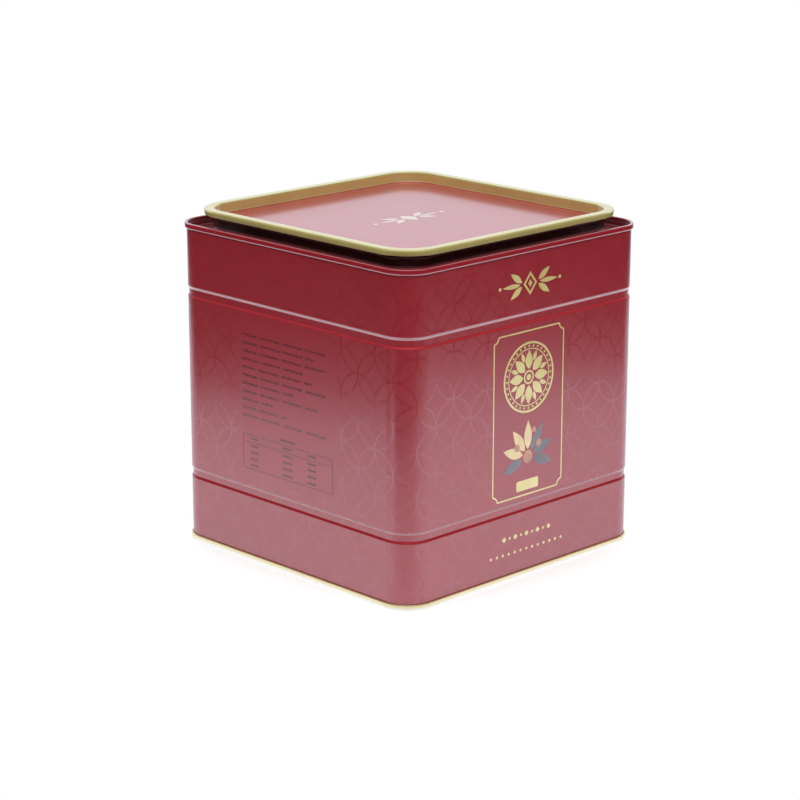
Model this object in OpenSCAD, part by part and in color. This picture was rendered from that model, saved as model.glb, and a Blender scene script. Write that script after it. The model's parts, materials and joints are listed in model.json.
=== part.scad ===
// Square lithographed tin with a lift-off plug lid that sits on a raised neck.
// Millimetres. The origin is the middle of the footprint, on the table; +Z is up and
// the framed front face looks towards -Y.
// Every metal piece is pressed from tinplate, so each is drawn as a bent strip of sheet
// in section and swept round a square with rounded corners.

/* [Body] */
// Outside width of the square wall
body_w = 165; // [120:1:220]
// Height from the table to the top of the upper rim
body_h = 165; // [110:1:240]
// Outside radius of the upright corners
corner_r = 14; // [8:0.5:24]
// Thickness of the tinplate
sheet_t = 0.28; // [0.2:0.01:0.34]

/* [Rolled grooves] */
// Distance from the table to the middle of the lower groove
lower_groove_inset = 35.6; // [15:0.1:50]
// Distance from the top of the upper rim down to the middle of the upper groove
upper_groove_inset = 35; // [15:0.1:50]
// Height of a groove, between the middles of its two flanks
groove_h = 4.3; // [3.4:0.1:9]
// Depth of a groove
groove_depth = 0.6; // [0.6:0.15:1.5]
// Bend radius at a groove's edges, to the middle of the sheet
groove_bend = 1.2; // [0.3:0.15:1.5]

/* [Double seams] */
// Height of a double seam
seam_h = 2.8; // [2.4:0.05:4]
// Clearance between the layers of a seam
seam_gap = 0.05; // [0.02:0.01:0.08]
// Room between the tip of a hook and the fold that it points into
hook_room = 0.25; // [0.1:0.05:0.4]
// Bend radius at the outer corners of a seam, to the middle of the sheet
seam_bend = 0.4; // [0.25:0.05:0.5]
// Room for the lining compound between the end's curl and the body's fold
lining_room = 0.3; // [0.2:0.05:0.5]
// Clearance between the lining and the body's fold
lining_gap = 0.05; // [0.02:0.01:0.1]

/* [Side seam] */
// Width of the lock seam down the back wall
side_seam_w = 5; // [3:0.5:8]
// Distance from the curve of the back corner to the middle of the lock seam
side_seam_inset = 16; // [6:1:30]
// How far the flattened lock seam stands proud of the back wall
side_seam_proud = 0.1; // [0.05:0.01:0.2]
// Distance from each double seam to the end of the lock seam
side_seam_notch = 1.5; // [0.5:0.1:4]

/* [Top ring] */
// Depth of the ledge below the top of the rim
ledge_depth = 4.4; // [3:0.1:8]
// Bend radius where the ledge meets the rim's inner wall, to the middle of the sheet
ledge_bend = 0.8; // [0.4:0.1:1.5]
// Distance from the body wall's face in to the neck's face
neck_inset = 8.9; // [7:0.1:16]
// Outside radius of the neck's upright corners
neck_r = 15.9; // [8:0.1:26]
// Height of the neck above the top of the rim
neck_rise = 6.9; // [4.5:0.1:12]
// Bend radius where the ledge turns up into the neck, to the middle of the sheet
neck_bend = 1; // [0.5:0.1:2]
// Height of the hem folded down outside the neck
hem_h = 2.4; // [1.2:0.1:4]
// Clearance inside the folded hems of the neck and the lid
hem_gap = 0.4; // [0.3:0.05:0.6]
// Bend radius at the corners of the neck's hem, to the middle of the sheet
hem_bend = 0.25; // [0.2:0.01:0.3]

/* [Lid] */
// How far the lid's edge stands out from the neck's face
lid_overhang = 4.4; // [2.5:0.1:5.5]
// Height of the lid's outer skirt
skirt_h = 3.1; // [2:0.1:4]
// Height of the hem folded up inside the skirt
skirt_hem_h = 2; // [1:0.1:2.4]
// Bend radius along the lid's outer edge, to the middle of the sheet
lid_edge_bend = 1; // [0.4:0.05:1.1]
// Depth of the lid's sunken panel below its rim
lid_recess = 5.5; // [3:0.1:8]
// Clearance between the lid's plug and the inside of the neck
plug_clear = 0.25; // [0.15:0.01:0.5]
// Bend radius where the rim turns down into the plug, to the middle of the sheet
plug_bend = 0.7; // [0.4:0.05:0.75]
// Bend radius at the foot of the plug, to the middle of the sheet
plug_foot_bend = 1; // [0.5:0.05:1.5]

/* [Bottom end] */
// Depth of the sunken bottom above the table
bottom_depth = 3.4; // [2.9:0.1:8]
// Bend radius at the edge of the sunken bottom, to the middle of the sheet
bottom_bend = 0.8; // [0.4:0.1:1.5]
// Distance from the body wall's face in to the step of the stiffened bottom panel
panel_inset = 12; // [8:0.5:30]
// Radius of the corners of the stiffened bottom panel
panel_r = 12; // [8:0.5:30]
// Height of the panel's step
panel_step = 1.2; // [0.8:0.1:2.5]
// Bend radius at the panel's step, to the middle of the sheet
panel_bend = 0.5; // [0.3:0.05:0.6]

/* [Hidden] */

// Colours of the lacquers and the bare pieces
red_lacquer = "#8a2b34";
gold_lacquer = "#c8b478";
lining_grey = "#b9b4a8";

// Smoothness of circles and of the swept corners
$fn = 64;

// Legs of a profile shorter than this are bends that follow on from each other
no_leg = 0.001;

body_half = body_w / 2;
neck_half = body_half - neck_inset;
panel_half = body_half - panel_inset;

// Distance from one layer of a double seam to the next
layer_pitch = sheet_t + seam_gap;
// Distance between the two layers of an open hem
hem_pitch = sheet_t + hem_gap;

// Distances from the edge of a seam, to the middle of the sheet
curl_mid = sheet_t / 2;
cover_fold_mid = seam_h - sheet_t / 2;
body_fold_mid = sheet_t + lining_room + sheet_t / 2;
// Distances from the edge of a seam to the tips of its two hooks
cover_tip = body_fold_mid + sheet_t / 2 + hook_room;
body_tip = cover_fold_mid - sheet_t / 2 - hook_room;

// How far a swept section runs on flat past its last bend, before the flat sheet takes over
flat_run = sheet_t;

// Place of the middle of a seam's layer: the body wall is layer 0, the end's inner wall is
// layer -1, and outside the wall come the cover hook, the body hook and the end's outer wall
function layer(n) = n * layer_pitch - sheet_t / 2;

// Direction from one point to another, and the direction a quarter turn to its left
function towards(a, b) = (b - a) / norm(b - a);
function left_of(d) = [-d[1], d[0]];

// A section is a list of [place across the wall, height, bend radius]
function spot(path, i) = [path[i][0], path[i][1]];
function turn_at(path, i) =
    let (before = towards(spot(path, i - 1), spot(path, i)))
    let (after = towards(spot(path, i), spot(path, i + 1)))
    atan2(before[0] * after[1] - before[1] * after[0], before * after);

// Length that the bend at a point takes off the legs beside it
function bend_length(path, i) =
    i == 0 || i == len(path) - 1 ? 0 : path[i][2] * tan(abs(turn_at(path, i)) / 2);

// One straight leg of a section
module leg(path, i) {
    along = towards(spot(path, i), spot(path, i + 1));
    side = left_of(along) * sheet_t / 2;
    start = spot(path, i) + along * bend_length(path, i);
    end = spot(path, i + 1) - along * bend_length(path, i + 1);
    if (norm(end - start) > no_leg)
        polygon([start + side, end + side, end - side, start - side]);
}

// One bend of a section, as an arc of a ring
module bend(path, i) {
    before = towards(spot(path, i - 1), spot(path, i));
    after = towards(spot(path, i), spot(path, i + 1));
    way = sign(turn_at(path, i));
    radius = path[i][2];
    centre = spot(path, i) - before * bend_length(path, i) + way * left_of(before) * radius;
    reach = 2 * (radius + sheet_t);
    intersection() {
        translate(centre)
            difference() {
                circle(radius + sheet_t / 2);
                circle(radius - sheet_t / 2);
            }
        polygon([centre, centre - way * left_of(before) * reach, centre - way * left_of(after) * reach]);
    }
}

// A bent strip of sheet in section
module strip(path) {
    for (i = [0 : len(path) - 2])
        leg(path, i);
    for (i = [1 : len(path) - 2])
        bend(path, i);
}

// Sweeps a section round a rounded square; the section's place 0 lies on the square's outline
module sweep(half, r) {
    straight = 2 * (half - r);
    for (quarter = [0 : 3])
        rotate([0, 0, 90 * quarter]) {
            translate([half, straight / 2, 0])
                rotate([90, 0, 0])
                    linear_extrude(straight)
                        children();
            translate([half - r, half - r, 0])
                rotate_extrude(angle = 90)
                    translate([r, 0])
                        children();
        }
}

// A square with rounded corners
module rounded_square(half, r) {
    square([2 * half, 2 * (half - r)], center = true);
    square([2 * (half - r), 2 * half], center = true);
    for (x = [-1, 1], y = [-1, 1])
        translate([x * (half - r), y * (half - r)])
            circle(r);
}

// A flat sheet whose middle lies at height z
module flat_sheet(half, r, z) {
    translate([0, 0, z - sheet_t / 2])
        linear_extrude(sheet_t)
            rounded_square(half, r);
}

// A flat frame of sheet from an outer rounded square to an inner one
module flat_frame(outer_half, outer_r, inner_half, inner_r, z) {
    translate([0, 0, z - sheet_t / 2])
        linear_extrude(sheet_t)
            difference() {
                rounded_square(outer_half, outer_r);
                rounded_square(inner_half, inner_r);
            }
}

// Turns a section that is drawn upwards from an edge so that it hangs down from the top edge
module from_top_edge() {
    translate([0, body_h])
        mirror([0, 1])
            children();
}

// Height of a groove's slanted flank: its slope is that of a triangle with sides of 3, 4 and 5
flank_h = groove_depth * 4 / 3;

// Section of the wall from a height near one edge to the middle of the body, with one groove
function half_wall(start, inset) = [
    [layer(0), start, layer_pitch],
    [layer(0), inset - groove_h / 2 - flank_h / 2, groove_bend],
    [layer(0) - groove_depth, inset - groove_h / 2 + flank_h / 2, groove_bend],
    [layer(0) - groove_depth, inset + groove_h / 2 - flank_h / 2, groove_bend],
    [layer(0), inset + groove_h / 2 + flank_h / 2, groove_bend],
    [layer(0), body_h / 2, 0],
];

// Section of the body's hook in a double seam, from its tip to the fold
body_hook = [
    [layer(2), body_tip, 0],
    [layer(2), body_fold_mid, layer_pitch],
];

// Section of an end's curl round the body's hook, then its inner wall and the start of its flat
function end_curl(flat_mid, foot_bend) = [
    [layer(1), cover_tip, 0],
    [layer(1), cover_fold_mid, layer_pitch],
    [layer(3), cover_fold_mid, layer_pitch],
    [layer(3), curl_mid, seam_bend],
    [layer(-1), curl_mid, seam_bend],
    [layer(-1), flat_mid, foot_bend],
    [curl_end(foot_bend), flat_mid, 0],
];

// Place where an end's curl gives way to its flat sheet
function curl_end(foot_bend) = layer(-1) - foot_bend - flat_run;

// Section of half the lock seam: the wall's own line, thickened inwards by three folded layers
module half_lock_seam(inset) {
    line = half_wall(seam_h + side_seam_notch, inset);
    last = len(line) - 1;
    face = sheet_t / 2 + side_seam_proud;
    back = sheet_t / 2 + 3 * sheet_t;
    polygon(concat(
        [for (i = [0 : last]) spot(line, i) + [face, 0]],
        [for (i = [last : -1 : 0]) spot(line, i) - [back, 0]]
    ));
}

// The lock seam where it runs down the back wall
module lock_seam() {
    back_corner = body_half - corner_r;
    rotate([0, 0, 90])
        translate([body_half, back_corner - side_seam_inset + side_seam_w / 2, 0])
            rotate([90, 0, 0])
                linear_extrude(side_seam_w) {
                    half_lock_seam(lower_groove_inset);
                    from_top_edge()
                        half_lock_seam(upper_groove_inset);
                }
}

// One bent sheet with two rolled grooves, hooked at both edges and locked down the back
module body_shell() {
    color(red_lacquer) {
        sweep(body_half, corner_r) {
            strip(concat(body_hook, half_wall(body_fold_mid, lower_groove_inset)));
            from_top_edge()
                strip(concat(body_hook, half_wall(body_fold_mid, upper_groove_inset)));
        }
        lock_seam();
    }
}

// Seamed ring with a sunken ledge and an upstanding neck; heights are from the top of the rim
module top_ring() {
    ledge_mid = ledge_depth + sheet_t / 2;
    hem_mid = neck_rise - sheet_t / 2;
    neck_mid = -sheet_t / 2;
    neck_foot = neck_mid + neck_bend + flat_run;
    rim_foot = curl_end(ledge_bend);
    color(red_lacquer)
        translate([0, 0, body_h]) {
            sweep(body_half, corner_r)
                mirror([0, 1])
                    strip(end_curl(ledge_mid, ledge_bend));
            flat_frame(body_half + rim_foot, corner_r + rim_foot,
                neck_half + neck_foot, neck_r + neck_foot, -ledge_mid);
            sweep(neck_half, neck_r)
                strip([
                    [neck_foot, -ledge_mid, 0],
                    [neck_mid, -ledge_mid, neck_bend],
                    [neck_mid, hem_mid, hem_bend],
                    [neck_mid + hem_pitch, hem_mid, hem_bend],
                    [neck_mid + hem_pitch, neck_rise - hem_h, 0],
                ]);
        }
}

// Seamed bottom, sunken clear of the table, with a stepped stiffening panel
module bottom_end() {
    sunk_mid = bottom_depth + sheet_t / 2;
    step_mid = sunk_mid + panel_step;
    step_run = panel_bend + flat_run;
    rim_foot = curl_end(bottom_bend);
    color(gold_lacquer) {
        sweep(body_half, corner_r)
            strip(end_curl(sunk_mid, bottom_bend));
        flat_frame(body_half + rim_foot, corner_r + rim_foot,
            panel_half + step_run, panel_r + step_run, sunk_mid);
        sweep(panel_half, panel_r)
            strip([
                [step_run, sunk_mid, 0],
                [0, sunk_mid, panel_bend],
                [0, step_mid, panel_bend],
                [-step_run, step_mid, 0],
            ]);
        flat_sheet(panel_half - step_run, panel_r - step_run, step_mid);
    }
}

// Section of the bead of lining compound in a double seam, as wide as the curl's flat
module lining_bead() {
    bead_w = 4 * layer_pitch - 2 * seam_bend;
    bead_h = lining_room - lining_gap;
    translate([layer(1), sheet_t + bead_h / 2])
        square([bead_w, bead_h], center = true);
}

module top_seam_lining() {
    color(lining_grey)
        translate([0, 0, body_h])
            sweep(body_half, corner_r)
                mirror([0, 1])
                    lining_bead();
}

module bottom_seam_lining() {
    color(lining_grey)
        sweep(body_half, corner_r)
            lining_bead();
}

// Pressed lid: hemmed skirt, rim, plug wall and sunken panel; heights are from the top of the neck,
// where the underside of the rim rests
module lid() {
    rim_mid = sheet_t / 2;
    skirt_low = sheet_t - skirt_h;
    skirt_mid = lid_overhang - sheet_t / 2;
    plug_mid = -sheet_t - plug_clear - sheet_t / 2;
    panel_mid = sheet_t / 2 - lid_recess;
    panel_edge = plug_mid - plug_foot_bend - flat_run;
    color(gold_lacquer)
        translate([0, 0, body_h + neck_rise]) {
            sweep(neck_half, neck_r)
                strip([
                    [skirt_mid - hem_pitch, skirt_low + skirt_hem_h, 0],
                    [skirt_mid - hem_pitch, skirt_low + sheet_t / 2, hem_pitch / 2],
                    [skirt_mid, skirt_low + sheet_t / 2, hem_pitch / 2],
                    [skirt_mid, rim_mid, lid_edge_bend],
                    [plug_mid, rim_mid, plug_bend],
                    [plug_mid, panel_mid, plug_foot_bend],
                    [panel_edge, panel_mid, 0],
                ]);
            flat_sheet(neck_half + panel_edge, neck_r + panel_edge, panel_mid);
        }
}

body_shell();
top_ring();
bottom_end();
top_seam_lining();
bottom_seam_lining();
lid();
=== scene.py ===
# %% [markdown]
# # A lithographed tin
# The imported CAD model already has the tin's real shape: folded sheet, rolled grooves and double seams.
# So every CAD node stays in view, and this lesson adds what a solid can't hold: ink, lacquer and light.
# Run the cells from top to bottom. Each one prints what it made or measured.

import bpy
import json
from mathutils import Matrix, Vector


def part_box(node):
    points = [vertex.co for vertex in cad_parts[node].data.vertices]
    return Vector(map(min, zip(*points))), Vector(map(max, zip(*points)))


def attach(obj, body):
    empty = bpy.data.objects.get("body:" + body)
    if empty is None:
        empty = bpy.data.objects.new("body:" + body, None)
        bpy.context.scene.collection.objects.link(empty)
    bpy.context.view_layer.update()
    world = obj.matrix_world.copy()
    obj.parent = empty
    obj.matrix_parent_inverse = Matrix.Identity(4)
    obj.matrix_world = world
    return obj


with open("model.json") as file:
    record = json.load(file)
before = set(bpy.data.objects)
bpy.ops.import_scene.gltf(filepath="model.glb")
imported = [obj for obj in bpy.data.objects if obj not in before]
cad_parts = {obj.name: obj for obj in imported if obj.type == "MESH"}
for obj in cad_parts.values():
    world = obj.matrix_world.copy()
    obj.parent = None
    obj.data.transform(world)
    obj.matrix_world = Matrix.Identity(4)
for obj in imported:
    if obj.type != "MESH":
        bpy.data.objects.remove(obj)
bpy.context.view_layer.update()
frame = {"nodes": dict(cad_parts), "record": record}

# %% [markdown]
# ## Sizes of the printed sheet
# A tin is printed flat and bent afterwards, so the print is laid out on the unrolled wall.
# These few lengths describe the bent sheet: how far a wall stands from the middle, the corner's radius, the
# sheet's thickness, and how long one wall and one corner are together when the sheet lies flat.

# %% Lengths in metres
import json
import math
import bmesh
import bpy
from mathutils import Quaternion, Vector

mm = 0.001
wall = 82.5 * mm
corner = 14 * mm
flat = wall - corner
quarter = 2 * flat + corner * math.pi / 2
half_height = 82.5 * mm
side_seam = 52.5 * mm
sheet_t = 0.28 * mm
lid_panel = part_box("lid")[0].z + sheet_t
print("one wall and one corner:", round(quarter / mm, 2), "mm; lid panel at", round(lid_panel / mm, 2), "mm")

# %% [markdown]
# ## Small helpers for node trees
# A procedural material is arithmetic on coordinates, and that needs many Math nodes.
# These helpers keep the arithmetic readable: a number goes into a socket, and a socket gets a link.

# %% Helpers for nodes
NUMBER = "NodeSocketFloat"
VECTOR = "NodeSocketVector"


def feed(tree, socket, value):
    """Links a socket to this input, or writes a number or colour into it."""
    if isinstance(value, bpy.types.NodeSocket):
        tree.links.new(value, socket)
    else:
        socket.default_value = value


def calc(tree, operation, *values):
    """A Math node on up to three numbers."""
    node = tree.nodes.new("ShaderNodeMath")
    node.operation = operation
    for socket, value in zip(node.inputs, values):
        feed(tree, socket, value)
    return node.outputs[0]


def choose(tree, mask, no, yes):
    """The number no where the mask is 0 and the number yes where it is 1."""
    node = tree.nodes.new("ShaderNodeMix")
    for socket, value in zip((node.inputs[0], node.inputs[2], node.inputs[3]), (mask, no, yes)):
        feed(tree, socket, value)
    return node.outputs[0]


def tint(tree, mask, no, yes):
    """The colour no where the mask is 0 and the colour yes where it is 1."""
    node = tree.nodes.new("ShaderNodeMix")
    node.data_type = "RGBA"
    for socket, value in zip((node.inputs[0], node.inputs[6], node.inputs[7]), (mask, no, yes)):
        feed(tree, socket, value)
    return node.outputs[2]


def ramp(tree, value, start, end, first=0.0, last=1.0):
    """A smooth change from first to last while the value goes from start to end."""
    node = tree.nodes.new("ShaderNodeMapRange")
    node.interpolation_type = "SMOOTHSTEP"
    for socket, number in zip(node.inputs, (value, start, end, first, last)):
        feed(tree, socket, number)
    return node.outputs[0]


def noise(tree, position, scale, detail=2.0):
    """Soft noise around 0.5 with this many blobs to the metre."""
    node = tree.nodes.new("ShaderNodeTexNoise")
    feed(tree, node.inputs["Vector"], position)
    feed(tree, node.inputs["Scale"], scale)
    feed(tree, node.inputs["Detail"], detail)
    return node.outputs["Fac"]


def split(tree, vector):
    """The x, y and z of a vector."""
    node = tree.nodes.new("ShaderNodeSeparateXYZ")
    feed(tree, node.inputs[0], vector)
    return node.outputs[0], node.outputs[1], node.outputs[2]


def length(tree, across, up):
    """The length of a step given by its two parts."""
    squares = calc(tree, "MULTIPLY_ADD", across, across, calc(tree, "MULTIPLY", up, up))
    return calc(tree, "SQRT", squares)


def new_group(name, inputs, outputs):
    """An empty node group with named sockets, and its two ends."""
    tree = bpy.data.node_groups.new(name, "ShaderNodeTree")
    for socket, kind in inputs.items():
        tree.interface.new_socket(socket, in_out="INPUT", socket_type=kind)
    for socket in outputs:
        tree.interface.new_socket(socket, in_out="OUTPUT", socket_type=NUMBER)
    given = tree.nodes.new("NodeGroupInput").outputs
    made = tree.nodes.new("NodeGroupOutput").inputs
    return tree, given, made


def place_group(tree, name, **values):
    """Puts a group into a tree with these inputs, and returns its outputs."""
    node = tree.nodes.new("ShaderNodeGroup")
    node.node_tree = bpy.data.node_groups[name]
    for socket, value in values.items():
        feed(tree, node.inputs[socket], value)
    return node.outputs


print("helpers ready")

# %% [markdown]
# ## Unrolling the wall
# A pattern drawn on x, y and z would smear round the corners. A UV map could unroll the wall, but the CAD
# mesh is kept as it is. So this group works out the place on the flat sheet: how far along it, and how
# high. On a flat wall that is plain distance, and in a corner it is the angle times the radius.
# The sheet's two ends meet in the lock seam down the back, so the count jumps there.

# %% Group: place on the unrolled sheet
tree, given, made = new_group("unrolled_sheet", {"Position": VECTOR}, ["Along", "Height"])
x, y, z = split(tree, given["Position"])
far_x = calc(tree, "ABSOLUTE", x)
far_y = calc(tree, "ABSOLUTE", y)
side_wall = calc(tree, "GREATER_THAN", far_x, far_y)
back_wall = calc(tree, "GREATER_THAN", y, 0.0)
back_wall = calc(tree, "MULTIPLY", back_wall, calc(tree, "SUBTRACT", 1.0, side_wall))
turned_x = calc(tree, "MULTIPLY", x, calc(tree, "MULTIPLY", calc(tree, "SIGN", y), -1.0))
turned_y = calc(tree, "MULTIPLY", y, calc(tree, "SIGN", x))
across = choose(tree, side_wall, turned_x, turned_y)
outward = calc(tree, "MAXIMUM", far_x, far_y)
on_flat = calc(tree, "MAXIMUM", calc(tree, "MINIMUM", across, flat), -flat)
bend = calc(tree, "ARCTAN2", calc(tree, "SUBTRACT", across, on_flat), calc(tree, "SUBTRACT", outward, flat))
past_seam = calc(tree, "MULTIPLY", back_wall, calc(tree, "GREATER_THAN", across, side_seam))
wall_number = choose(tree, side_wall, calc(tree, "MULTIPLY", back_wall, 2.0), calc(tree, "SIGN", x))
wall_number = calc(tree, "MULTIPLY_ADD", past_seam, -4.0, wall_number)
along = calc(tree, "MULTIPLY_ADD", bend, corner, on_flat)
along = calc(tree, "MULTIPLY_ADD", wall_number, quarter, along)
feed(tree, made["Along"], along)
feed(tree, made["Height"], z)
print("unrolled_sheet:", len(tree.nodes), "nodes")

# %% [markdown]
# ## Overlapping circles
# The ground pattern is an old one: circles on a chequered grid, each crossing its four neighbours, so that
# four petals meet at every crossing. Folding the plane into one cell means that only two circles have to be
# tested, however many the sheet shows.

# %% Group: circle lattice
circle_r = 11.5 * mm
line_w = 0.5 * mm
first_along = -63.3 * mm
first_height = 7.75 * mm
tree, given, made = new_group("circle_lattice", {"Along": NUMBER, "Height": NUMBER}, ["Line"])
u = calc(tree, "DIVIDE", calc(tree, "SUBTRACT", given["Along"], first_along), circle_r)
v = calc(tree, "DIVIDE", calc(tree, "SUBTRACT", given["Height"], first_height), circle_r)
rising = calc(tree, "MULTIPLY", calc(tree, "ADD", u, v), 0.5)
falling = calc(tree, "MULTIPLY", calc(tree, "SUBTRACT", u, v), 0.5)
rising = calc(tree, "SUBTRACT", rising, calc(tree, "ROUND", rising))
falling = calc(tree, "SUBTRACT", falling, calc(tree, "ROUND", falling))
cell_u = calc(tree, "ABSOLUTE", calc(tree, "ADD", rising, falling))
cell_v = calc(tree, "ABSOLUTE", calc(tree, "SUBTRACT", rising, falling))
own = calc(tree, "SUBTRACT", length(tree, cell_u, cell_v), 1.0)
next_u = calc(tree, "SUBTRACT", cell_u, 1.0)
next_v = calc(tree, "SUBTRACT", cell_v, 1.0)
neighbour = calc(tree, "SUBTRACT", length(tree, next_u, next_v), 1.0)
nearest = calc(tree, "MINIMUM", calc(tree, "ABSOLUTE", own), calc(tree, "ABSOLUTE", neighbour))
soft = 0.12 * mm / circle_r
edge = line_w / 2 / circle_r
feed(tree, made["Line"], ramp(tree, nearest, edge - soft, edge + soft, 1.0, 0.0))
print("circle_lattice: circles of", round(2 * circle_r / mm, 1), "mm")

# %% [markdown]
# ## Fields left free
# The lattice stops where something else is printed: inside the gold frame on the front and on the back,
# and round the ruled panel on the left. Each field is a rectangle on the unrolled sheet.

# %% Group: fields without lattice
frame_half_w = 24.6 * mm
frame_half_h = 41.3 * mm
rules_half_w = 35 * mm
rules_half_h = 37.5 * mm
rules_level = 85.8 * mm
fields = [
    (0.0, half_height, frame_half_w, frame_half_h),
    (2 * quarter, half_height, frame_half_w, frame_half_h),
    (-quarter, rules_level, rules_half_w, rules_half_h),
]
tree, given, made = new_group("free_fields", {"Along": NUMBER, "Height": NUMBER}, ["Free"])
free = 0.0
for middle, level, half_w, half_h in fields:
    beside = calc(tree, "ABSOLUTE", calc(tree, "SUBTRACT", given["Along"], middle))
    above = calc(tree, "ABSOLUTE", calc(tree, "SUBTRACT", given["Height"], level))
    beside = calc(tree, "LESS_THAN", beside, half_w)
    above = calc(tree, "LESS_THAN", above, half_h)
    inside = calc(tree, "MULTIPLY", beside, above)
    free = calc(tree, "MAXIMUM", inside, free)
feed(tree, made["Free"], free)
print("free_fields:", len(fields), "rectangles")

# %% [markdown]
# ## Distance from the middle, round corners included
# The rims, the neck and the lid are all rounded squares. This group gives how far out a point is on such a
# square: the plain distance beside a flat side, and the radius added on in a corner.

# %% Group: how far out
tree, given, made = new_group("far_out", {"Position": VECTOR, "Flat": NUMBER}, ["Out"])
x, y, z = split(tree, given["Position"])
beyond_x = calc(tree, "MAXIMUM", calc(tree, "SUBTRACT", calc(tree, "ABSOLUTE", x), given["Flat"]), 0.0)
beyond_y = calc(tree, "MAXIMUM", calc(tree, "SUBTRACT", calc(tree, "ABSOLUTE", y), given["Flat"]), 0.0)
feed(tree, made["Out"], calc(tree, "ADD", length(tree, beyond_x, beyond_y), given["Flat"]))
print("far_out ready")

# %% [markdown]
# ## Lacquer
# Stoved lacquer is never quite even: it has a faint orange-peel, and hands leave it a little duller in
# places. One group gives both to every lacquered piece, and each material sets the grain and the gloss.

# %% Group: satin lacquer
tree, given, made = new_group(
    "satin_lacquer",
    {"Position": VECTOR, "Gloss": NUMBER, "Spread": NUMBER, "Grain": NUMBER},
    ["Roughness", "Peel", "Shade"],
)
handled = noise(tree, given["Position"], 22.0, 3.0)
speckle = noise(tree, given["Position"], given["Grain"], 2.0)
rough = calc(tree, "MULTIPLY_ADD", calc(tree, "SUBTRACT", handled, 0.5), given["Spread"], given["Gloss"])
rough = calc(tree, "MULTIPLY_ADD", calc(tree, "SUBTRACT", speckle, 0.5), 0.03, rough)
feed(tree, made["Roughness"], rough)
feed(tree, made["Peel"], speckle)
feed(tree, made["Shade"], noise(tree, given["Position"], 70.0, 4.0))
print("satin_lacquer ready")

# %% [markdown]
# ## Rubbed rims
# Only the outermost roll of a seam ever touches another tin on the shelf. The group finds that roll by its
# distance from the middle and breaks it up with noise, so that bare metal shows in a few tiny specks.

# %% Group: rim wear
tree, given, made = new_group("rim_wear", {"Position": VECTOR, "Out": NUMBER, "Edge": NUMBER}, ["Wear"])
outermost = ramp(tree, calc(tree, "SUBTRACT", given["Out"], given["Edge"]), -0.12 * mm, 0.0)
specks = ramp(tree, noise(tree, given["Position"], 900.0, 3.0), 0.74, 0.8)
feed(tree, made["Wear"], calc(tree, "MULTIPLY", outermost, specks))
print("rim_wear ready")

# %% [markdown]
# ## Colours
# Colours are written as they would be mixed, in 8-bit values, and turned into the linear light that
# Blender's shaders work in.

# %% Colours


def colour(red, green, blue):
    """A linear colour from 8-bit values."""
    def linear(value):
        share = value / 255
        return share / 12.92 if share <= 0.04045 else ((share + 0.055) / 1.055) ** 2.4
    return (linear(red), linear(green), linear(blue), 1.0)


deep_red = colour(150, 32, 42)
lattice_red = colour(147, 31, 41)
# The next two reds are painted light and painted shade on the groove flanks that face up.
lit_flank_red = colour(164, 33, 43)
shaded_low_flank_red = colour(140, 20, 28)
shaded_red = colour(148, 31, 41)
# Painted shade: the darker red inside the rim.
gutter_shade_red = colour(118, 24, 32)
lid_red = colour(154, 36, 54)
lid_red_shade = colour(151, 35, 52)
neck_black = colour(26, 15, 14)
gold_lacquer = colour(209, 192, 122)
gold_shade = colour(203, 185, 114)
pale_gold = colour(248, 230, 174)
pale_gold_shade = colour(243, 223, 165)
# Painted reflection: the near-white at the very foot of the tin.
table_reflection_white = colour(255, 252, 242)
# Painted highlight: the pale pink of the groove and rim highlight bands.
painted_highlight_pink = colour(236, 180, 190)
bare_tin = colour(196, 192, 184)
gold_ink = colour(232, 217, 150)
print("deep red in linear light:", [round(v, 3) for v in deep_red])

# %% [markdown]
# ## A start for every finish
# Each finish is one Principled shader. The first helper makes the material, its coordinates and the bump
# that carries the orange-peel, and leaves colour, metal and gloss to the cell that knows them. The other two
# add the varnish and a colour that is never quite even.

# %% Helpers for finishes
finishes = {}
tin_shine = 0.9
ink_shine = 0.12
plain_specular = 0.2
thick_specular = 0.9


def new_finish(name, peel=0.008 * mm):
    """A material with its tree, shader, object coordinates, object normal and bump."""
    material = bpy.data.materials.new(name + "_finish")
    material.use_nodes = True
    finishes[name] = material
    tree = material.node_tree
    shader = tree.nodes["Principled BSDF"]
    coordinates = tree.nodes.new("ShaderNodeTexCoord")
    bump = tree.nodes.new("ShaderNodeBump")
    bump.inputs["Strength"].default_value = 0.35
    bump.inputs["Distance"].default_value = peel
    tree.links.new(bump.outputs["Normal"], shader.inputs["Normal"])
    return tree, shader, coordinates.outputs["Object"], coordinates.outputs["Normal"], bump.inputs["Height"]


def varnish(shader, weight=0.7):
    """The clear stoved varnish over the whole print."""
    shader.inputs["Specular IOR Level"].default_value = plain_specular
    shader.inputs["Coat Weight"].default_value = weight
    shader.inputs["Coat IOR"].default_value = 2.35
    shader.inputs["Coat Roughness"].default_value = 0.13


def mottle(tree, lacquer, shade, light):
    """A colour that drifts softly between two close ones."""
    return tint(tree, ramp(tree, lacquer["Shade"], 0.3, 0.7), shade, light)


print("new_finish, varnish and mottle ready")

# %% [markdown]
# ## The printed wall
# The ground is a deep red ink, and the lattice is the same ink a shade darker. The groove flanks that face
# up are painted a purer red as painted light from above, the lower one darker as painted shade. The flanks
# that face down, and a band just above them, are painted pale pink: a painted highlight of the mirrored
# table.
# The sheet's inner side is plain tinplate, found by which way the surface faces.

# %% Finish: red printed tinplate
groove_tops = (38.1 * mm, 132.5 * mm)
shoulder_h = 0.6 * mm
low_down = 40 * mm
high_up = 120 * mm


def under_way(tree, step):
    """1 where a ramp from 0 to 1 is between its ends, and 0 elsewhere."""
    return calc(tree, "COMPARE", step, 0.5, 0.45)


def faces_down(tree, nz):
    """1 where the surface faces well down, told from the upright part of its normal."""
    return ramp(tree, nz, -0.35, -0.1, 1.0, 0.0)


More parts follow.
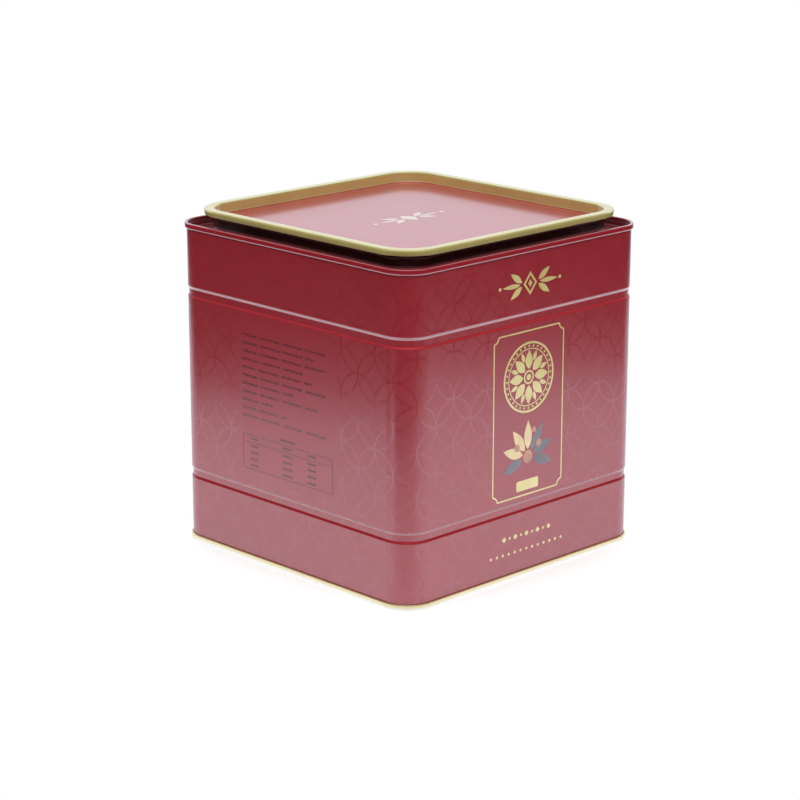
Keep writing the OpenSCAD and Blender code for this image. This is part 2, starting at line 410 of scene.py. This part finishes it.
tree, shader, position, normal, height = new_finish("red_print")
sheet = place_group(tree, "unrolled_sheet", Position=position)
line = place_group(tree, "circle_lattice", Along=sheet["Along"], Height=sheet["Height"])["Line"]
free = place_group(tree, "free_fields", Along=sheet["Along"], Height=sheet["Height"])["Free"]
line = calc(tree, "MULTIPLY", line, calc(tree, "SUBTRACT", 1.0, free))
x, y, z = split(tree, position)
nx, ny, nz = split(tree, normal)
outside = calc(tree, "MULTIPLY_ADD", x, nx, calc(tree, "MULTIPLY", y, ny))
outside = calc(tree, "GREATER_THAN", outside, -0.01)
lacquer = place_group(tree, "satin_lacquer", Position=position, Gloss=0.34, Spread=0.05, Grain=900.0)
printed = tint(tree, line, mottle(tree, lacquer, shaded_red, deep_red), lattice_red)
# Painted light: flanks that face up get a purer red, and a darker one low down as painted shade.
upward = ramp(tree, nz, 0.12, 0.4)
flank = tint(tree, ramp(tree, z, low_down, high_up), shaded_low_flank_red, lit_flank_red)
printed = tint(tree, upward, printed, flank)
rise = 0.0
# Painted highlight: flanks that face down and a band above each groove are tinted pale pink.
highlight_band = faces_down(tree, nz)
for level in groove_tops:
    step = ramp(tree, z, level, level + shoulder_h)
    rise = calc(tree, "ADD", step, rise)
    highlight_band = calc(tree, "MAXIMUM", highlight_band, under_way(tree, step))
highlight_share = ramp(tree, z, low_down, high_up, 0.16, 0.3)
printed = tint(tree, calc(tree, "MULTIPLY", highlight_band, highlight_share), printed, painted_highlight_pink)
feed(tree, shader.inputs["Base Color"], tint(tree, outside, bare_tin, printed))
feed(tree, shader.inputs["Metallic"], choose(tree, outside, tin_shine, ink_shine))
feed(tree, shader.inputs["Roughness"], lacquer["Roughness"])
feed(tree, height, lacquer["Peel"])
print("red_print:", len(tree.nodes), "nodes")

# %% [markdown]
# ## Varnish on the wall
# The ground has a satin varnish and the lattice a glossy one. Both mirror the white table below and the dim
# room beyond its edge, and the satin blurs that edge more. So a line looks darker than the ground just above
# the mirrored edge and lighter below it, although its ink hardly differs.
# The varnish is thick on the painted highlight bands, and thin on the groove flanks that face up.
# The rollers also draw the wall in a little just above each groove, and a second Bump node gives that soft
# shoulder.

# %% Varnish of the printed wall
satin = 0.26
glossy = 0.11
ground_coat = 0.78
line_coat = 0.94
flank_loss = 0.5


def press_shoulder(tree, shader, rise):
    """Bends the sheet and its varnish outwards where rise grows from 0 to 1."""
    shoulder = tree.nodes.new("ShaderNodeBump")
    shoulder.inputs["Distance"].default_value = 0.3 * mm
    feed(tree, shoulder.inputs["Height"], rise)
    feed(tree, shader.inputs["Coat Normal"], shoulder.outputs["Normal"])
    peel = shader.inputs["Normal"].links[0].from_node
    feed(tree, peel.inputs["Normal"], shoulder.outputs["Normal"])


varnish(shader)
feed(tree, shader.inputs["Coat Roughness"], choose(tree, line, satin, glossy))
coat = choose(tree, line, ground_coat, line_coat)
coat = calc(tree, "MULTIPLY_ADD", upward, -flank_loss, coat)
feed(tree, shader.inputs["Coat Weight"], calc(tree, "MAXIMUM", coat, highlight_band))
feed(tree, shader.inputs["Specular IOR Level"], choose(tree, highlight_band, plain_specular, thick_specular))
press_shoulder(tree, shader, rise)
print("varnish on red_print:", len(tree.nodes), "nodes in all")

# %% [markdown]
# ## The ring and its neck
# The ring over the body is stamped from sheet of the same red. Its neck stands up under the lid and is
# nearly black, from a little above the ledge. Inside the rim the red is painted darker as painted shade, and
# inside the mouth the sheet's unprinted side shows. The rolled rim has a pale painted highlight along its
# foot, a thick varnish there and on top, and a few specks of wear.

# %% Finish: red ring
neck_face = 73.6 * mm
neck_flat = 57.7 * mm
hem_face = 74.4 * mm
ledge_top = 160.6 * mm
rim_foot = 162.2 * mm
rim_shoulder_h = 0.75 * mm
rim_highlight_share = 0.24
rim_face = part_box("top_ring")[1].x
tree, shader, position, normal, height = new_finish("red_ring")
lacquer = place_group(tree, "satin_lacquer", Position=position, Gloss=0.3, Spread=0.08, Grain=900.0)
rim_out = place_group(tree, "far_out", Position=position, Flat=flat)["Out"]
wear = place_group(tree, "rim_wear", Position=position, Out=rim_out, Edge=rim_face)["Wear"]
neck_out = place_group(tree, "far_out", Position=position, Flat=neck_flat)["Out"]
bare = calc(tree, "LESS_THAN", neck_out, neck_face - sheet_t / 2)
bare = calc(tree, "MAXIMUM", bare, calc(tree, "MULTIPLY", wear, 0.6))
z = split(tree, position)[2]
nz = split(tree, normal)[2]
risen = ramp(tree, z, ledge_top + 1.8 * mm, ledge_top + 3.2 * mm)
on_neck = calc(tree, "MULTIPLY", risen, calc(tree, "LESS_THAN", neck_out, hem_face))
# Painted shade: inside the rim the red is painted darker.
gutter_shade = ramp(tree, rim_out, wall - 0.6 * mm, wall - 0.3 * mm, 1.0, 0.0)
ground = tint(tree, gutter_shade, mottle(tree, lacquer, shaded_red, deep_red), gutter_shade_red)
ground = tint(tree, on_neck, ground, neck_black)
# Painted highlight: a pale pink band along the rim's foot.
step = ramp(tree, z, rim_foot, rim_foot + rim_shoulder_h)
highlight_band = calc(tree, "MAXIMUM", under_way(tree, step), faces_down(tree, nz))
ground = tint(tree, calc(tree, "MULTIPLY", highlight_band, rim_highlight_share), ground, painted_highlight_pink)
feed(tree, shader.inputs["Base Color"], tint(tree, bare, ground, bare_tin))
feed(tree, shader.inputs["Metallic"], choose(tree, bare, ink_shine, tin_shine))
feed(tree, shader.inputs["Roughness"], lacquer["Roughness"])
feed(tree, height, lacquer["Peel"])
varnish(shader)
press_shoulder(tree, shader, step)
thick = calc(tree, "MAXIMUM", highlight_band, ramp(tree, nz, 0.3, 0.7))
feed(tree, shader.inputs["Coat Weight"], choose(tree, thick, 0.7, 1.0))
feed(tree, shader.inputs["Specular IOR Level"], choose(tree, thick, plain_specular, thick_specular))
print("red_ring: rim at", round(rim_face / mm, 2), "mm")

# %% [markdown]
# ## Gold lacquer
# There is no gold on such a tin: a yellow lacquer lies over bright tinplate, so the metal's own shine comes
# back tinted. That is a metallic shader with a warm base colour, and a thin varnish on top. Towards the
# table the foot is painted nearly white, a painted reflection of the white table.

# %% Finish: gold bottom
tree, shader, position, normal, height = new_finish("gold_bottom", 0.003 * mm)
lacquer = place_group(tree, "satin_lacquer", Position=position, Gloss=0.3, Spread=0.06, Grain=1400.0)
rim_out = place_group(tree, "far_out", Position=position, Flat=flat)["Out"]
wear = place_group(tree, "rim_wear", Position=position, Out=rim_out, Edge=rim_face)["Wear"]
z = split(tree, position)[2]
ground = mottle(tree, lacquer, pale_gold_shade, pale_gold)
# Painted reflection: the lowest part of the foot fades to near-white, as the mirrored white table.
ground = tint(tree, ramp(tree, z, 0.5 * mm, 1.6 * mm), table_reflection_white, ground)
feed(tree, shader.inputs["Base Color"], tint(tree, wear, ground, bare_tin))
feed(tree, shader.inputs["Roughness"], lacquer["Roughness"])
feed(tree, height, lacquer["Peel"])
shader.inputs["Metallic"].default_value = 0.85
varnish(shader, 0.6)
print("gold_bottom ready")

# %% [markdown]
# ## The lid
# One pressing carries both finishes: the sunken panel is printed red, and the wall round it and the flat rim
# are gold. The border is the foot of the wall, so height tells them apart. The upright walls took more
# lacquer, so less of the metal shines through. The underside is bare tinplate.

# %% Finish: lid
red_top = lid_panel + 0.45 * mm
top_shine = 0.62
wall_shine = 0.42
tree, shader, position, normal, height = new_finish("lid_print", 0.003 * mm)
lacquer = place_group(tree, "satin_lacquer", Position=position, Gloss=0.3, Spread=0.06, Grain=1200.0)
z = split(tree, position)[2]
nz = split(tree, normal)[2]
low = ramp(tree, z, red_top - 0.2 * mm, red_top, 1.0, 0.0)
under = calc(tree, "LESS_THAN", nz, -0.5)
gold = mottle(tree, lacquer, gold_shade, gold_lacquer)
red = mottle(tree, lacquer, lid_red_shade, lid_red)
feed(tree, shader.inputs["Base Color"], tint(tree, under, tint(tree, low, gold, red), bare_tin))
level = ramp(tree, calc(tree, "ABSOLUTE", nz), 0.3, 0.8)
shine = choose(tree, low, choose(tree, level, wall_shine, top_shine), ink_shine)
feed(tree, shader.inputs["Metallic"], choose(tree, under, shine, tin_shine))
feed(tree, shader.inputs["Roughness"], lacquer["Roughness"])
feed(tree, height, lacquer["Peel"])
varnish(shader, 0.78)
print("lid_print: red up to", round(red_top / mm, 2), "mm")

# %% [markdown]
# ## Sealing compound
# The two beads inside the seams are a rubbery compound. They are closed in, but a cut-away view shows them,
# so they get a dull finish with a fine grain.

# %% Finish: seam lining
tree, shader, position, normal, height = new_finish("seam_lining", 0.05 * mm)
grain = noise(tree, position, 1500.0, 3.0)
feed(tree, shader.inputs["Base Color"], tint(tree, grain, colour(176, 172, 162), colour(206, 202, 192)))
feed(tree, shader.inputs["Roughness"], ramp(tree, grain, 0.2, 0.8, 0.7, 0.95))
feed(tree, height, grain)
print("seam_lining ready")

# %% [markdown]
# ## Finishes onto the CAD nodes
# A CAD node keeps its mesh and takes the finish that its slot names in the record.

# %% Assign the finishes
slots = {part["node"]: part["material_slot"] for part in frame["record"]["subparts"]}
for node, piece in frame["nodes"].items():
    piece.material_slots[0].material = finishes[slots[node]]
    print(node, "takes", slots[node])

# %% [markdown]
# ## Inks
# Gold, cream, ochre and slate inks lie over the red, with a dark one on the left and a pale one on the lid.
# Printed ink stands a few hundredths of a millimetre proud, so each ink is a thin closed mesh on the wall.
# That keeps every edge sharp, where a small texture would blur it.

# %% Finishes: inks


def new_ink(name, body_colour, thin_colour, metal, gloss=0.7):
    """An ink with a grainy lay-down: thin_colour shows where the plate left less of it."""
    tree, shader, position, normal, height = new_finish(name, 0.008 * mm)
    lacquer = place_group(tree, "satin_lacquer", Position=position, Gloss=0.36, Spread=0.1, Grain=2200.0)
    laid = ramp(tree, lacquer["Shade"], 0.25, 0.75)
    feed(tree, shader.inputs["Base Color"], tint(tree, laid, thin_colour, body_colour))
    feed(tree, shader.inputs["Roughness"], lacquer["Roughness"])
    feed(tree, height, lacquer["Peel"])
    shader.inputs["Metallic"].default_value = metal
    varnish(shader, gloss)
    return finishes[name]


inks = {
    "gold": new_ink("gold_ink", gold_ink, colour(217, 199, 128), 0.35),
    "cream": new_ink("cream_ink", colour(228, 206, 158), colour(204, 172, 122), 0.0),
    "ochre": new_ink("ochre_ink", colour(196, 138, 104), colour(160, 104, 84), 0.0),
    "slate": new_ink("slate_ink", colour(112, 104, 112), colour(80, 76, 88), 0.0),
    "grey": new_ink("grey_ink", colour(92, 36, 44), colour(104, 42, 50), 0.0, 0.45),
    "pale": new_ink("pale_ink", colour(200, 180, 168), colour(186, 164, 154), 0.1),
}
print("inks:", ", ".join(inks))

# %% [markdown]
# ## Shapes to print
# Every ornament is built from a few outlines: a disc, a leaf, a lozenge and a bar.
# An outline is a list of points in millimetres on the face, so a design can be read like a drawing.

# %% Outlines


def disc(u, v, radius, count=40):
    """A round outline."""
    turns = [2 * math.pi * i / count for i in range(count)]
    return [(u + radius * math.cos(a), v + radius * math.sin(a)) for a in turns]


def leaf(u, v, degrees, reach, width, count=12):
    """A pointed oval that starts at u, v and grows in this direction."""
    out = Vector((math.cos(math.radians(degrees)), math.sin(math.radians(degrees))))
    side = Vector((-out.y, out.x))
    swell = [math.sin(math.pi * (i / count) ** 0.85) for i in range(count + 1)]
    left = [out * reach * i / count + side * width / 2 * swell[i] for i in range(count + 1)]
    right = [out * reach * i / count - side * width / 2 * swell[i] for i in range(count - 1, 0, -1)]
    return [(u + p.x, v + p.y) for p in left + right]


def lozenge(u, v, wide, high):
    """A diamond."""
    return [(u + wide / 2, v), (u, v + high / 2), (u - wide / 2, v), (u, v - high / 2)]


def bar(u, v, wide, high):
    """A straight bar from u to the right, with its middle at v."""
    return [(u, v - high / 2), (u + wide, v - high / 2), (u + wide, v + high / 2), (u, v + high / 2)]


def pill(u, v, wide, high, radius, count=8):
    """A bar with round corners, about its middle."""
    points = []
    for k, (side, top) in enumerate(((1, 1), (-1, 1), (-1, -1), (1, -1))):
        for i in range(count + 1):
            a = math.pi / 2 * (k + i / count)
            middle = (u + side * (wide / 2 - radius), v + top * (high / 2 - radius))
            points.append((middle[0] + radius * math.cos(a), middle[1] + radius * math.sin(a)))
    return points


def notched(v, half_w, half_h, notch, shoulder, grow, count=7):
    """A rectangle with a round bite out of each corner and rounded shoulders beside it, grown outwards."""
    reach = math.sqrt((notch + shoulder) ** 2 - shoulder ** 2)
    tilt = math.atan2(reach, shoulder)
    arcs = [
        (half_w - shoulder, half_h - reach, shoulder + grow, 0.0, tilt),
        (half_w, half_h, notch - grow, math.pi + tilt, 1.5 * math.pi - tilt),
        (half_w - reach, half_h - shoulder, shoulder + grow, math.pi / 2 - tilt, math.pi / 2),
    ]
    one = []
    for middle_u, middle_v, radius, start, end in arcs:
        for i in range(count + 1):
            a = start + (end - start) * i / count
            one.append((middle_u + radius * math.cos(a), middle_v + radius * math.sin(a)))
    mirrored = [(-a, b) for a, b in reversed(one)]
    upper = one + mirrored
    lower = [(-a, -b) for a, b in upper]
    return [(a, v + b) for a, b in upper + lower]


print("a notched frame has", len(notched(0, 25, 41, 3, 0.8, 0)), "points")

# %% [markdown]
# ## From outline to ink
# Each shape becomes a thin closed plate, or a closed ring between two outlines. The faces of the tin differ
# only in where a point of the drawing lies, so each face is one small function. Later inks go over earlier.

# %% Helper: lay an ink on a face
ink_t = 0.04 * mm


def on_front(u, v, lift):
    return (u, -wall - lift, v)


def on_back(u, v, lift):
    return (-u, wall + lift, v)


def on_left(u, v, lift):
    return (-wall - lift, -u, v)


def on_lid(u, v, lift):
    return (u, v, lid_panel + lift)


def close_band(mesh, first, second):
    """Quads between two loops of equally many points."""
    for i in range(len(first)):
        j = (i + 1) % len(first)
        mesh.faces.new((first[i], first[j], second[j], second[i]))


def lay_ink(name, ink, shapes, face, body="tin", layer=1):
    """One ink on one face. A shape is an outline, or a pair of outlines for a ring."""
    mesh = bmesh.new()

    def loop(outline, lift):
        return [mesh.verts.new(face(u * mm, v * mm, lift)) for u, v in outline]

    for shape in shapes:
        ring = isinstance(shape[0], list)
        outlines = shape if ring else [shape]
        tops = [loop(outline, ink_t * layer) for outline in outlines]
        feet = [loop(outline, 0.0) for outline in outlines]
        for top, foot in zip(tops, feet):
            close_band(mesh, foot, top)
        if ring:
            close_band(mesh, tops[0], tops[1])
            close_band(mesh, feet[0], feet[1])
        else:
            mesh.faces.new(tops[0])
            mesh.faces.new(feet[0])
    bmesh.ops.recalc_face_normals(mesh, faces=mesh.faces)
    data = bpy.data.meshes.new(name)
    mesh.to_mesh(data)
    mesh.free()
    data.materials.append(inks[ink])
    piece = bpy.data.objects.new(name, data)
    bpy.context.scene.collection.objects.link(piece)
    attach(piece, body)
    print(name, "has", len(shapes), "shapes and", len(data.polygons), "faces")
    return piece


print("lay_ink ready, with layers of", round(ink_t / mm, 2), "mm")

# %% [markdown]
# ## The gold panel
# The front carries a frame with bitten corners, a plain pill at its foot and, between them, a rosette.
# Polar repeats draw the rosette: eight broad petals, eight narrow ones, rings and a row of beads.

# %% Outlines of the gold panel
panel_v = half_height / mm
rosette_v = 100.5


def spot(v, degrees, away):
    """A point at this angle and distance from the middle of a round design at height v."""
    turn = math.radians(degrees)
    return away * math.cos(turn), v + away * math.sin(turn)


panel_frame = [notched(panel_v, 24.5, 41.2, 3.05, 0.8, grow) for grow in (0.37, -0.37)]
gold_shapes = [panel_frame, pill(0, 46.3, 15.6, 5.2, 1.1)]
for radius, width in ((16.6, 1.1), (13.9, 0.5)):
    gold_shapes.append([disc(0, rosette_v, radius + width, 72), disc(0, rosette_v, radius, 72)])
gold_shapes += [[disc(0, rosette_v, 3.5), disc(0, rosette_v, 2.6)], disc(0, rosette_v, 1.5)]
for k in range(8):
    broad = 45 * k
    narrow = broad + 22.5
    gold_shapes.append(leaf(*spot(rosette_v, broad, 4.1), broad, 9.4, 5.0))
    gold_shapes.append(leaf(*spot(rosette_v, narrow, 8.4), narrow, 5.2, 2.3))
for k in range(32):
    gold_shapes.append(disc(*spot(rosette_v, 11.25 * k, 15.5), 0.55, 14))
print("gold panel:", len(gold_shapes), "shapes")

# %% [markdown]
# ## The sprig
# Under the rosette opens a small fan of seven leaves in cream and slate, with ochre berries on it.
# Leaves of one ink never overlap: two plates at one height would fight over which of them is seen.
# The berries go down last, so they are a thicker layer and may lie over the leaves.

# %% Outlines of the sprig
sprig_v = 60.5


def fan_leaf(degrees, reach=14.5, width=5.4, clear=3.8):
    """A leaf of the fan, which starts a little away from the fan's middle."""
    return leaf(*spot(sprig_v, degrees, clear), degrees, reach, width)


def berry(degrees, away, radius):
    """A round berry at this angle and distance from the fan's middle."""
    return disc(*spot(sprig_v, degrees, away), radius, 24)


slate_shapes = [fan_leaf(degrees) for degrees in (-18, 18, 54, 198)]
cream_shapes = [fan_leaf(degrees) for degrees in (90, 126, 162)]
ochre_shapes = [berry(0, 0, 3.3), berry(36, 9.6, 1.9), berry(72, 13.5, 1.5), berry(144, 9.6, 1.9)]
print("sprig:", len(slate_shapes) + len(cream_shapes) + len(ochre_shapes), "shapes")

# %% [markdown]
# ## Bands above and below
# Over the upper groove sits a narrow gold ornament, a lozenge between two sprays of leaves. Under the lower
# groove there are two rows of small gold marks. All three are symmetrical about the middle of the face.

# %% Outlines of the bands
band_v = 147.0
crest = [[lozenge(0, band_v, 9.5, 11.5), lozenge(0, band_v, 6.6, 8.0)], lozenge(0, band_v, 3.0, 3.8)]
for side in (0, 180):
    sign = 1 if side == 0 else -1
    crest += [leaf(sign * 5.8, band_v + rise, side + sign * rise * 34, 9.5, 3.2) for rise in (1, -1)]
    crest += [leaf(sign * 6.8, band_v, side, 12.5, 2.3), disc(sign * 21.0, band_v, 0.9, 20)]
chain = [lozenge(8.0 * k, 21.2, 2.9, 2.9) for k in range(-2, 3)]
chain += [disc(8.0 * k + 4.0, 21.2, 0.7, 16) for k in range(-2, 2)]
beads = [disc(4.2 * k, 13.3, 0.75, 16) for k in range(-6, 7)]
foot_shapes = chain + beads
print("crest:", len(crest), "shapes; foot:", len(foot_shapes), "shapes")

# %% [markdown]
# ## The ruled panel on the left
# The left wall has a block of thin dark rules and, under it, an empty table with a border and a head line.
# The rules are rows of short bars of uneven length, worked out from a repeating pattern, with wider gaps.

# %% Outlines of the ruled panel
rules = []
row_ends = (29, 20, 30, 12, 20, 29, 5, 21, -11, -1, 28)
for row, end in enumerate(row_ends):
    level = 115.8 - 4.1 * row
    place = -33.0
    step = 0
    while place < end - 1.0:
        run = (1.5, 2.3, 1.2, 2.9, 1.9)[(step + row) % 5]
        run = min(run, end - place)
        rules.append(bar(place, level, run, 1.1))
        place += run + (3.0 if step % 5 == 3 else 0.9)
        step += 1
table_box = [bar(-33.2, 56.4, 65.0, 17.8), bar(-32.9, 56.4, 64.4, 17.2)]
rules += [table_box, bar(-32.8, 61.4, 64.2, 0.3), bar(-5.8, 67.3, 11.0, 1.1)]
for row in range(5):
    level = 63.4 - 3.3 * row - (0.5 if row else 0.0)
    rules += [bar(-27.5, level, 5.5, 1.0), bar(-4.0, level, 7.0, 1.0), bar(14.0, level, 6.0, 1.0)]
print("ruled panel:", len(rules), "shapes")

# %% [markdown]
# ## Print every face
# The back repeats the gold panel, as is usual on such tins. The right wall carries only the lattice.
# A small pale ornament marks the middle of the lid and rides on it.

# %% Lay the inks
for face_name, face in (("front", on_front), ("back", on_back)):
    lay_ink(face_name + "_gold_print", "gold", gold_shapes + crest + foot_shapes, face)
    lay_ink(face_name + "_slate_print", "slate", slate_shapes, face)
    lay_ink(face_name + "_cream_print", "cream", cream_shapes, face, layer=2)
    lay_ink(face_name + "_ochre_print", "ochre", ochre_shapes, face, layer=3)
lay_ink("left_grey_print", "grey", rules, on_left)
lid_shapes = [lozenge(0, 0, 9.0, 13.0)]
for side in (0, 180):
    sign = 1 if side == 0 else -1
    lid_shapes += [leaf(sign * 5.6, rise * 1.1, side + sign * rise * 34, 9.5, 3.8) for rise in (1, -1)]
    lid_shapes += [leaf(sign * 7.0, 0, side, 13.0, 2.3), disc(sign * 23.0, 0, 1.2, 20)]
lay_ink("lid_pale_print", "pale", lid_shapes, on_lid, body="lid")

# %% [markdown]
# ## Table and paper
# The tin stands on a round white table in a dim room. Only the camera sees the table run on into white, so
# the background is plain, the shadow stays under the tin, and the varnish mirrors a table that ends.
# That end is what makes the walls pale below and deep red above. The table reaches further at the back, and
# a strip of white paper runs on behind it, which the outermost corners mirror as a pale edge.
# A wedge of the table in front of the tin is painted darker, a painted shadow of someone at the camera, and
# the corner mirrors it as a narrow deep red strip. The table bulges out a little to the left of that wedge.

# %% Floor
bpy.ops.mesh.primitive_circle_add(vertices=96, radius=1.6, fill_type="NGON")
floor = bpy.context.object
floor.name = "floor"
print("floor:", round(floor.dimensions.x, 1), "m across")

# %% The table that the varnish mirrors
table_r = 388 * mm
table_middle = Vector((44, -39)) * mm
table_edge = 40 * mm
back_shrink = 0.75
bulge_shrink = 0.16
bulge_edge = 100 * mm
bulge_spread = 2.7
diagonal = math.sqrt(0.5)
tree, shader, position, normal, height = new_finish("white_table", 0.05 * mm)
x, y, z = split(tree, position)
sideways = calc(tree, "SUBTRACT", x, table_middle.x)
onward = calc(tree, "SUBTRACT", y, table_middle.y)
onward = calc(tree, "MINIMUM", onward, calc(tree, "MULTIPLY", onward, back_shrink))
away = length(tree, sideways, onward)
ahead = calc(tree, "MULTIPLY", calc(tree, "ADD", calc(tree, "ADD", x, y), 2 * wall), -diagonal)
leftward = calc(tree, "MULTIPLY", calc(tree, "SUBTRACT", y, x), diagonal)
bulge = ramp(tree, calc(tree, "SUBTRACT", leftward, ahead), 0.0, bulge_edge, 0.0, -bulge_shrink)
bulge_end = calc(tree, "MULTIPLY_ADD", ahead, -bulge_spread, leftward)
bulge = calc(tree, "MULTIPLY", bulge, ramp(tree, bulge_end, -bulge_edge, bulge_edge, 1.0, 0.0))
away = calc(tree, "MULTIPLY_ADD", away, bulge, away)
table = ramp(tree, away, table_r - table_edge, table_r + table_edge, 1.0, 0.0)
print("table:", round(2 * table_r, 2), "m across")

# %% The paper behind and the wedge in front
camera_turn = math.radians(-44.65)
behind = Vector((-math.sin(camera_turn), math.cos(camera_turn), 0.0))
paper_start = 90 * mm
paper_full = 180 * mm
paper_half_w = 420 * mm
paper_end = 600 * mm
paper_white = 0.9
near = 120 * mm
far = 240 * mm
near_slope = 1.3
far_slope = 0.9
right_slope = 0.75
wedge_edge = 60 * mm
wedge_shadow_dim = 0.28
room_white = 0.005
past = calc(tree, "MULTIPLY_ADD", x, behind.x, calc(tree, "MULTIPLY", y, behind.y))
beside = calc(tree, "MULTIPLY_ADD", x, behind.y, calc(tree, "MULTIPLY", y, -behind.x))
beside = calc(tree, "ABSOLUTE", beside)
paper = ramp(tree, past, paper_start, paper_full, 0.0, paper_white)
paper = calc(tree, "MULTIPLY", paper, ramp(tree, beside, paper_half_w, paper_end, 1.0, 0.0))
left_slope = ramp(tree, ahead, near, far, -near_slope, -far_slope)
left_edge = calc(tree, "MULTIPLY_ADD", ahead, left_slope, leftward)
right_edge = calc(tree, "MULTIPLY_ADD", ahead, -right_slope, calc(tree, "MULTIPLY", leftward, -1.0))
wedge = calc(tree, "MAXIMUM", left_edge, right_edge)
wedge = ramp(tree, wedge, -wedge_edge, wedge_edge, 1.0, 0.0)
# Painted shadow: the wedge dims the table's glow in front of the tin.
lit = calc(tree, "MULTIPLY", table, calc(tree, "MULTIPLY_ADD", wedge, -wedge_shadow_dim, 1.0))
lit = calc(tree, "MAXIMUM", calc(tree, "MAXIMUM", lit, paper), room_white)
print("paper and wedge towards", [round(v, 2) for v in behind], "and away from it")

# %% Finish: floor
white_light = (1.0, 1.0, 1.0, 1.0)
cool_light = (0.97, 0.99, 1.08, 1.0)
path = tree.nodes.new("ShaderNodeLightPath")
mirrored = path.outputs["Is Glossy Ray"]
from_tin = place_group(tree, "far_out", Position=position, Flat=flat)["Out"]
grain = noise(tree, position, 400.0, 3.0)
feed(tree, shader.inputs["Base Color"], tint(tree, table, colour(60, 58, 58), colour(248, 248, 248)))
feed(tree, shader.inputs["Roughness"], ramp(tree, grain, 0.2, 0.8, 0.6, 0.75))
feed(tree, height, grain)
shader.inputs["Specular IOR Level"].default_value = 0.1
# Painted light: mirrored rays see the table as a glow of strength lit, standing in for a lit white table.
white = tree.nodes.new("ShaderNodeEmission")
feed(tree, white.inputs["Strength"], choose(tree, mirrored, 1.0, lit))
feed(tree, white.inputs["Color"], tint(tree, mirrored, white_light, cool_light))
open_floor = ramp(tree, from_tin, wall + 1 * mm, wall + 26 * mm)
open_floor = calc(tree, "MULTIPLY", open_floor, path.outputs["Is Camera Ray"])
open_floor = calc(tree, "MAXIMUM", open_floor, mirrored)
blend = tree.nodes.new("ShaderNodeMixShader")
feed(tree, blend.inputs[0], open_floor)
tree.links.new(shader.outputs[0], blend.inputs[1])
tree.links.new(white.outputs[0], blend.inputs[2])
tree.links.new(blend.outputs[0], tree.nodes["Material Output"].inputs["Surface"])
floor.data.materials.append(finishes["white_table"])
print("white_table:", len(tree.nodes), "nodes")

# %% [markdown]
# ## Room
# A cool white backdrop hangs behind the tin and sweeps up over it, and the lid and the tops of the rims
# mirror it. The rest of the room is dim. The world does both by direction, and shows plain white to the
# camera.

# %% World
world = bpy.data.worlds.new("studio")
bpy.context.scene.world = world
world.use_nodes = True
tree = world.node_tree
background = tree.nodes["Background"]
direction = tree.nodes.new("ShaderNodeTexCoord").outputs["Generated"]
towards = tree.nodes.new("ShaderNodeVectorMath")
towards.operation = "DOT_PRODUCT"
feed(tree, towards.inputs[0], direction)
feed(tree, towards.inputs[1], behind)
z = split(tree, direction)[2]
backdrop = calc(tree, "MAXIMUM", ramp(tree, towards.outputs["Value"], 0.3, 0.65), ramp(tree, z, 0.8, 0.95))
backdrop = calc(tree, "MULTIPLY", backdrop, ramp(tree, z, -0.05, 0.05))
path = tree.nodes.new("ShaderNodeLightPath")
dim_grey = (0.1, 0.1, 0.1, 1.0)
backdrop_white = (0.88, 0.97, 1.03, 1.0)
room = tint(tree, backdrop, dim_grey, backdrop_white)
seen = path.outputs["Is Camera Ray"]
feed(tree, background.inputs["Color"], tint(tree, seen, room, white_light))
background.inputs["Strength"].default_value = 1.0
print("backdrop towards", [round(v, 2) for v in behind])

# %% [markdown]
# ## Lamps
# Three large softboxes stand high round the tin, one for each visible wall and one over the camera, so that
# the rims and grooves throw soft shadows downwards. A weaker one hangs overhead for the lid and the table.
# Polarising film keeps their own mirror images out of the varnish: they are hidden from glossy rays.

# %% Softboxes


def softbox(name, place, aim, size, power):
    """A square area lamp that points at a spot."""
    data = bpy.data.lights.new(name, "AREA")
    data.shape = "SQUARE"
    data.size = size
    data.energy = power
    lamp = bpy.data.objects.new(name, data)
    lamp.location = place
    lamp.rotation_euler = (Vector(aim) - Vector(place)).to_track_quat("-Z", "Y").to_euler()
    lamp.visible_glossy = False
    bpy.context.scene.collection.objects.link(lamp)
    print(name, "stands", round((Vector(place) - Vector(aim)).length, 2), "m away")


middle = Vector((0, 0, 0.08))
softbox("front_softbox", middle - behind * 1.2 + Vector((0, 0, 1.2)), middle, 1.0, 14.0)
softbox("left_softbox", middle + Vector((-1.05, 0.45, 1.2)), middle, 0.8, 11.6)
softbox("right_softbox", middle + Vector((0.2, -1.1, 1.2)), middle, 0.8, 13.5)
softbox("top_softbox", behind * 0.2 + Vector((0, 0, 1.5)), middle, 1.2, 6.0)

# %% [markdown]
# ## Camera
# The camera's place was fitted to the edges of the tin in the picture: about 1.25 m away, looking down by
# 16 degrees at the corner between the two printed walls, with a long lens.

# %% Camera
camera_lift = math.radians(15.7)
camera_roll = math.radians(0.1)
camera_away = 1.2499
target = Vector((0, 0, 71.5 * mm))
back = Vector((
    math.sin(camera_turn) * math.cos(camera_lift),
    -math.cos(camera_turn) * math.cos(camera_lift),
    math.sin(camera_lift),
))
lens = bpy.data.cameras.new("camera")
lens.sensor_width = 36.0
lens.lens = 110.57
lens.shift_x = -0.0108
lens.shift_y = 0.0022
lens.clip_start = 0.05
camera = bpy.data.objects.new("camera", lens)
camera.location = target + back * camera_away
aim = (-back).to_track_quat("-Z", "Y")
camera.rotation_mode = "QUATERNION"
camera.rotation_quaternion = aim @ Quaternion((0, 0, 1), camera_roll)
bpy.context.scene.collection.objects.link(camera)
bpy.context.scene.camera = camera
bpy.context.scene.view_settings.view_transform = "Standard"
print("camera at", [round(v, 3) for v in camera.location])
